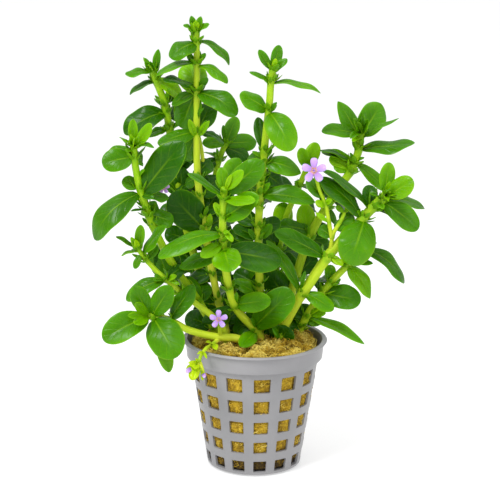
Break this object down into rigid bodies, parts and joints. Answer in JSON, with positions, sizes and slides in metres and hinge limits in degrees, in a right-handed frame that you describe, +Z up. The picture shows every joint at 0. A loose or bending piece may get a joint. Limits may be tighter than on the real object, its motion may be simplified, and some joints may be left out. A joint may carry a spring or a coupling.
{
  "type": "potted aquarium plant",
  "caption": "Bacopa crenata with fleshy stems, opposite rounded leaves and small five-petalled flowers, rooted in a lump of rock wool inside a tapered net pot.",
  "frame": {"origin": "middle of the pot's flat underside", "axes": "+Z up along the pot's axis, -Y towards the side the plant is seen from, +X to that viewer's right"},
  "size_m": [0.1226, 0.0646, 0.1705],
  "materials": {
    "grey_plastic": "satin",
    "leaf_dark": "satin",
    "leaf_mid": "satin",
    "leaf_young": "satin",
    "petal": "matte",
    "rock_wool": "matte",
    "stem": "satin"
  },
  "bodies": {
    "root": {"flower_1": "petal", "flower_2": "petal", "flower_3": "petal", "leaf_centre_1": "leaf_mid", "leaf_centre_2": "leaf_mid", "leaf_centre_3": "leaf_mid", "leaf_centre_4": "leaf_mid", "leaf_centre_5": "leaf_young", "leaf_centre_6": "leaf_dark", "leaf_centre_7": "leaf_young", "leaf_centre_8": "leaf_mid", "leaf_left_1": "leaf_mid", "leaf_left_2": "leaf_mid", "leaf_left_3": "leaf_dark", "leaf_low_left_1": "leaf_mid", "leaf_right_1": "leaf_mid", "leaf_right_2": "leaf_young", "leaf_right_3": "leaf_dark", "leaf_right_4": "leaf_mid", "leaf_right_fork_1": "leaf_mid", "leaf_right_fork_2": "leaf_mid", "leaf_right_fork_3": "leaf_dark", "leaf_right_fork_4": "leaf_dark", "leaf_right_fork_5": "leaf_mid", "leaf_right_fork_6": "leaf_mid", "leaf_right_fork_7": "leaf_young", "leaf_right_fork_8": "leaf_dark", "leaf_tall_left_1": "leaf_mid", "leaf_tall_left_2": "leaf_mid", "leaf_tall_left_3": "leaf_mid", "leaf_tall_left_4": "leaf_dark", "leaf_tall_left_5": "leaf_dark", "leaf_tall_right_1": "leaf_mid", "leaf_tall_right_2": "leaf_mid", "leaf_tall_right_3": "leaf_mid", "leaf_tall_right_4": "leaf_dark", "leaf_trailing_1": "leaf_mid", "leaf_trailing_2": "leaf_mid", "leaf_trailing_3": "leaf_mid", "leaf_trailing_4": "leaf_mid", "leaf_trailing_5": "leaf_mid", "leaf_upper_left_1": "leaf_dark", "leaf_upper_right_1": "leaf_mid", "leaf_upper_right_2": "leaf_mid", "leaf_upper_right_3": "leaf_mid", "leaf_upper_right_4": "leaf_mid", "net_pot": "grey_plastic", "rock_wool": "rock_wool", "shoot_back_left": "stem", "shoot_back_right": "stem", "shoot_centre": "stem", "shoot_left": "stem", "shoot_low_left": "stem", "shoot_right": "stem", "shoot_right_fork": "stem", "shoot_tall_left": "stem", "shoot_tall_right": "stem", "shoot_trailing": "stem", "shoot_upper_left": "stem", "shoot_upper_right": "stem"}
  },
  "joints": []
}
